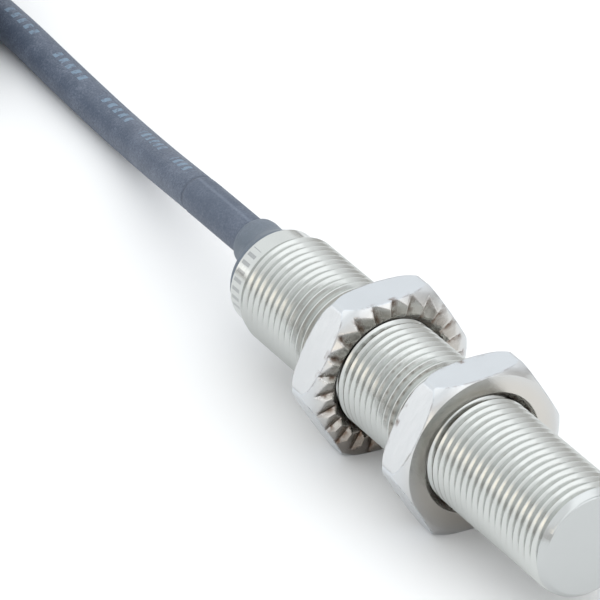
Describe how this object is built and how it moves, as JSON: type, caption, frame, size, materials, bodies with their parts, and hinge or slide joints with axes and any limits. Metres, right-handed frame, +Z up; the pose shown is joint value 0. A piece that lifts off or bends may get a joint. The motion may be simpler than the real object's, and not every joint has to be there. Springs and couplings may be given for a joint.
{
  "type": "proximity sensor",
  "caption": "Flush M12 inductive proximity sensor with threaded metal barrel, toothed fixing nuts and a fixed cable folded into a tied hank.",
  "frame": {"origin": "centre of the flat sensing face", "axes": "+X out of the sensing face along the barrel, +Z up, +Y to the left of +X seen from above"},
  "size_m": [0.2177, 0.0473, 0.017],
  "materials": {
    "nickel_plated_housing": "satin",
    "nickel_plated_nut": "satin",
    "grommet_rubber": "matte",
    "cable_jacket": "matte",
    "ferrite": "matte",
    "bobbin_plastic": "matte",
    "carrier_plastic": "matte",
    "copper_wire": "satin",
    "board_laminate": "satin",
    "chip_epoxy": "matte",
    "capacitor_ceramic": "matte",
    "solder": "satin",
    "led_lens": "gloss",
    "casting_resin": "gloss",
    "seal_rubber": "matte",
    "clamp_metal": "satin",
    "core_brown": "matte",
    "core_blue": "matte",
    "core_black": "matte",
    "tie_plastic": "matte"
  },
  "bodies": {
    "sensor": {"housing_barrel": "nickel_plated_housing", "ferrite_core": "ferrite", "coil_bobbin": "bobbin_plastic", "coil_winding": "copper_wire", "coil_carrier": "carrier_plastic", "coil_lead_start": "copper_wire", "coil_lead_end": "copper_wire", "circuit_board": "board_laminate", "tuning_capacitor": "capacitor_ceramic", "trim_resistor": "chip_epoxy", "sensor_ic": "chip_epoxy", "bypass_capacitor": "capacitor_ceramic", "output_transistor": "chip_epoxy", "protection_diode": "chip_epoxy", "status_led": "led_lens", "voltage_regulator": "chip_epoxy", "filter_capacitor": "capacitor_ceramic", "gain_resistor": "chip_epoxy", "inner_wire_brown": "core_brown", "inner_wire_blue": "core_blue", "inner_wire_black": "core_black", "solder_joint_brown": "solder", "solder_joint_blue": "solder", "solder_joint_black": "solder", "potting_compound": "casting_resin", "cable_clamp_ring": "clamp_metal", "cable_grommet": "grommet_rubber", "outlet_seal_ring": "seal_rubber", "cable_entry": "cable_jacket", "cable_run": "cable_jacket", "cable_coil": "cable_jacket", "coil_tie": "tie_plastic", "cable_tail": "cable_jacket", "lead_brown": "core_brown", "lead_blue": "core_blue", "lead_black": "core_black", "lead_tip_brown": "solder", "lead_tip_blue": "solder", "lead_tip_black": "solder"},
    "front_nut_body": {"front_nut": "nickel_plated_nut"},
    "rear_nut_body": {"rear_nut": "nickel_plated_nut"}
  },
  "joints": [
    {"name": "front_nut_travel", "type": "slide", "parent": "sensor", "child": "front_nut_body", "axis": [1, 0, 0], "range_m": [-0.0056, 0.018]},
    {"name": "rear_nut_travel", "type": "slide", "parent": "sensor", "child": "rear_nut_body", "axis": [1, 0, 0], "range_m": [-0.015, 0.0056]}
  ]
}
